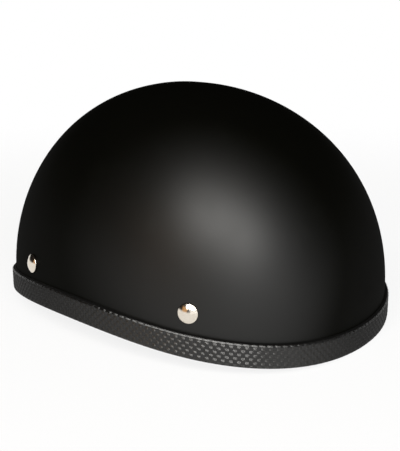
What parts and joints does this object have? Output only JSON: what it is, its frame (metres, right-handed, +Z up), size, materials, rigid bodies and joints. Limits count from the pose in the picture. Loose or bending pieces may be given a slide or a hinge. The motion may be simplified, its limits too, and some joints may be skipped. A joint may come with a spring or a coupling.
{
  "type": "novelty half-shell riding helmet",
  "caption": "Low half-shell riding helmet with a woven-look edge trim, riveted chin-strap harness, side-release buckle, padded liner and domed rivets.",
  "frame": {"origin": "on the floor under the middle of the rim's footprint, with the rim's lowest points on Z = 0", "axes": "front faces -Y, the wearer's left is +X, +Z is up"},
  "size_m": [0.2152, 0.2678, 0.153],
  "materials": {
    "shell_plastic": "satin black moulded plastic",
    "trim_vinyl": "glossy black vinyl with a woven check relief",
    "rivet_nickel": "bright nickel plate",
    "washer_steel": "zinc plated",
    "foam": "dark closed-cell foam",
    "liner_cloth": "black knitted cloth over foam",
    "webbing": "black woven nylon",
    "elastic": "black elastic",
    "patch_leather": "grained black, stitched",
    "buckle_plastic": "moulded black"
  },
  "bodies": {
    "helmet": {"shell": "shell_plastic", "edge_trim": "trim_vinyl", "foam_liner": "foam", "cloth_liner": "liner_cloth", "crown_pad": "liner_cloth", "brow_pad": "liner_cloth", "nape_pad": "liner_cloth", "temple_pad_left": "liner_cloth", "temple_pad_right": "liner_cloth", "rivet_front_left": "rivet_nickel", "rivet_front_right": "rivet_nickel", "rivet_rear_left": "rivet_nickel", "rivet_rear_right": "rivet_nickel", "washer_front_left": "washer_steel", "washer_front_right": "washer_steel", "washer_rear_left": "washer_steel", "washer_rear_right": "washer_steel", "tab_front_left": "webbing", "tab_front_right": "webbing", "tab_rear_left": "webbing", "tab_rear_right": "webbing"},
    "left_strap": {"leg_front_left": "webbing", "leg_rear_left": "webbing", "patch_left": "patch_leather", "chin_strap_left": "webbing"},
    "right_strap": {"leg_front_right": "webbing", "leg_rear_right": "webbing", "patch_right": "patch_leather", "chin_strap_right": "webbing"},
    "socket": {"buckle_socket": "buckle_plastic"},
    "plug": {"buckle_plug": "buckle_plastic"},
    "front_prong": {"prong_front": "buckle_plastic"},
    "rear_prong": {"prong_rear": "buckle_plastic"},
    "keeper": {"tail_keeper": "elastic"}
  },
  "joints": [
    {"name": "left_strap_swing", "type": "hinge", "parent": "helmet", "child": "left_strap", "pos_m": [0.08404, 0, 0.015], "axis": [0, -1, 0], "range_deg": [0, 165]},
    {"name": "right_strap_swing", "type": "hinge", "parent": "helmet", "child": "right_strap", "pos_m": [-0.08404, 0, 0.015], "axis": [0, 1, 0], "range_deg": [0, 165]},
    {"name": "socket_tilt", "type": "hinge", "parent": "left_strap", "child": "socket", "pos_m": [0.04316, 0.006, 0.0907], "axis": [0, -1, 0], "range_deg": [-10, 90]},
    {"name": "plug_tilt", "type": "hinge", "parent": "right_strap", "child": "plug", "pos_m": [-0.04116, 0.006, 0.09417], "axis": [0, 1, 0], "range_deg": [-10, 90]},
    {"name": "front_prong_squeeze", "type": "hinge", "parent": "plug", "child": "front_prong", "pos_m": [-0.03751, -0.0016, 0.10049], "axis": [-0.866, 0, 0.5], "range_deg": [0, 8], "stiffness_Nm_per_rad": 0.05},
    {"name": "rear_prong_squeeze", "type": "hinge", "parent": "plug", "child": "rear_prong", "pos_m": [-0.03751, 0.0136, 0.10049], "axis": [0.866, 0, -0.5], "range_deg": [0, 8], "stiffness_Nm_per_rad": 0.05},
    {"name": "keeper_slide", "type": "slide", "parent": "right_strap", "child": "keeper", "axis": [0.5, 0, 0.866], "range_m": [0, 0.008]}
  ]
}
